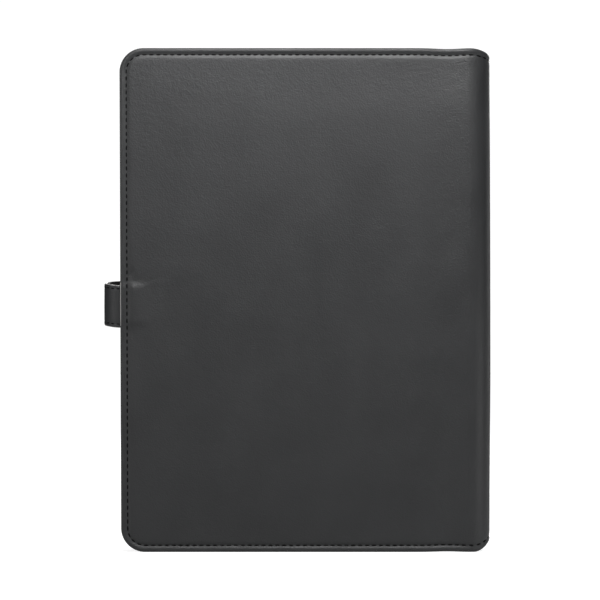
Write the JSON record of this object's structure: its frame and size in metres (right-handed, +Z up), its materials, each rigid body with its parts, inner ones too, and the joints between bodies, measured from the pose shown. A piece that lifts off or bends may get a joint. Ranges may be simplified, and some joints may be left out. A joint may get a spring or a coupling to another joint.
{
  "type": "leather notebook cover",
  "caption": "Padded leather notebook cover with a rounded spine and a snap strap round its fore edge, holding a paper notebook in its sleeves.",
  "frame": {"origin": "on the bottom edge of the back cover's leather, in the middle of its thickness and of the cover's width", "axes": "+Z up along the cover's height, +X towards the spine, +Y through the closed cover from its back to its front, so the back cover faces -Y"},
  "size_m": [0.1723, 0.0266, 0.225],
  "materials": {
    "cover_leather": "soft black grained leather, satin",
    "lining": "thin matt black lining leather",
    "padding": "thin grey felt",
    "board": "grey-brown pressed fibre board",
    "card": "dark coated card",
    "paper": "cream writing paper in stacked leaves",
    "binding": "dark woven binding cloth",
    "thread": "black waxed thread",
    "nickel": "polished nickel-plated steel"
  },
  "bodies": {
    "back_cover": {"back_leather": "cover_leather", "back_padding": "padding", "back_board": "board", "back_lining": "lining", "back_sleeve": "lining", "back_seam_thread": "thread", "strap_root_leather": "cover_leather", "strap_root_lining": "lining", "notebook_back_card": "card", "notebook_binding": "binding", "back_leaves": "paper"},
    "spine_back": {"spine_back_leather": "cover_leather", "spine_back_lining": "lining"},
    "spine_front": {"spine_front_leather": "cover_leather", "spine_front_lining": "lining"},
    "front_cover": {"front_leather": "cover_leather", "front_padding": "padding", "front_board": "board", "front_lining": "lining", "front_sleeve": "lining", "front_seam_thread": "thread", "notebook_front_card": "card", "snap_stud": "nickel", "snap_rivet": "nickel"},
    "leaves_middle": {"middle_leaves": "paper"},
    "leaves_front": {"front_leaves": "paper"},
    "strap_side": {"strap_side_leather": "cover_leather", "strap_side_lining": "lining"},
    "strap_tab": {"strap_tab_leather": "cover_leather", "strap_tab_lining": "lining", "strap_tab_thread": "thread", "snap_socket": "nickel", "snap_cap": "nickel"}
  },
  "joints": [
    {"name": "cover_open", "type": "hinge", "parent": "back_cover", "child": "spine_back", "pos_m": [0.07748, 0.00075, 0.1125], "axis": [0, 0, -1], "range_deg": [0, 60]},
    {"name": "spine_middle_bend", "type": "hinge", "parent": "spine_back", "child": "spine_front", "pos_m": [0.0825, 0.00945, 0.1125], "axis": [0, 0, -1], "range_deg": [0, 60]},
    {"name": "spine_front_bend", "type": "hinge", "parent": "spine_front", "child": "front_cover", "pos_m": [0.07748, 0.01815, 0.1125], "axis": [0, 0, -1], "range_deg": [0, 60]},
    {"name": "middle_leaves_turn", "type": "hinge", "parent": "back_cover", "child": "leaves_middle", "pos_m": [0.07, 0.0104, 0.1125], "axis": [0, 0, -1], "range_deg": [0, 114]},
    {"name": "front_leaves_turn", "type": "hinge", "parent": "back_cover", "child": "leaves_front", "pos_m": [0.0713, 0.0126, 0.1125], "axis": [0, 0, -1], "range_deg": [0, 162]},
    {"name": "strap_unwrap", "type": "hinge", "parent": "back_cover", "child": "strap_side", "pos_m": [-0.08766, 0.00314, 0.1105], "axis": [0, 0, 1], "range_deg": [0, 80]},
    {"name": "strap_tab_bend", "type": "hinge", "parent": "strap_side", "child": "strap_tab", "pos_m": [-0.08766, 0.02236, 0.1105], "axis": [0, 0, 1], "range_deg": [0, 80]}
  ],
  "couplings": [
    {"joint": "spine_middle_bend", "follows": "cover_open", "ratio": 1},
    {"joint": "spine_front_bend", "follows": "cover_open", "ratio": 1},
    {"joint": "middle_leaves_turn", "follows": "cover_open", "ratio": 1.9},
    {"joint": "front_leaves_turn", "follows": "cover_open", "ratio": 2.7},
    {"joint": "strap_tab_bend", "follows": "strap_unwrap", "ratio": 1}
  ]
}
